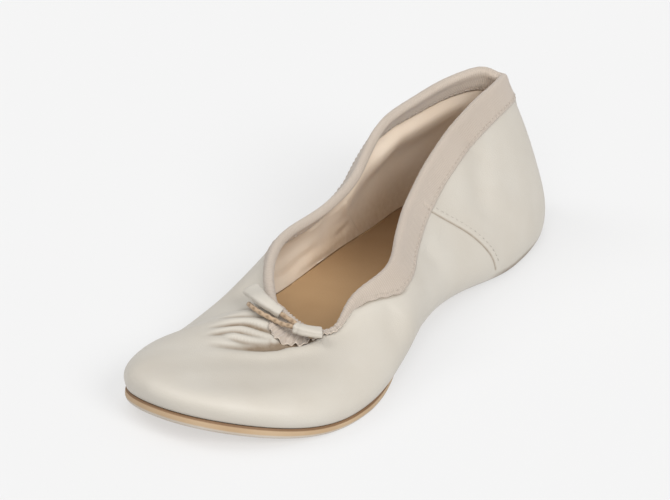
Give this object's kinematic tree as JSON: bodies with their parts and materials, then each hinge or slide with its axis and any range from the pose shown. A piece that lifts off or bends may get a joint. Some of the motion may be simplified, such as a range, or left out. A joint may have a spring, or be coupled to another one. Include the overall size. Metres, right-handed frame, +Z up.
{
  "type": "ballet flat",
  "caption": "Soft leather ballet flat with a taped top line, a small drawstring bow at the throat and a thin flat leather sole.",
  "frame": {"origin": "on the floor, under the middle of the shoe's box", "axes": "+Z up, heel towards +Y and toe towards -Y, outer (little toe) side towards +X"},
  "size_m": [0.0804, 0.2422, 0.0624],
  "materials": {
    "upper_leather": "smooth cream nappa, soft sheen",
    "tape": "beige ribbed cotton tape, matt",
    "sole_leather": "tan sole leather with a dyed edge",
    "insole_leather": "tan insole leather, matt",
    "cord": "tan braided cord"
  },
  "bodies": {
    "root": {"upper": "upper_leather", "topline_tape": "tape", "heel_strap": "upper_leather", "outsole": "sole_leather", "insole": "insole_leather", "bow_cord_inner": "cord", "bow_cord_outer": "cord", "bow_tip_inner": "upper_leather", "bow_tip_outer": "upper_leather"}
  },
  "joints": []
}
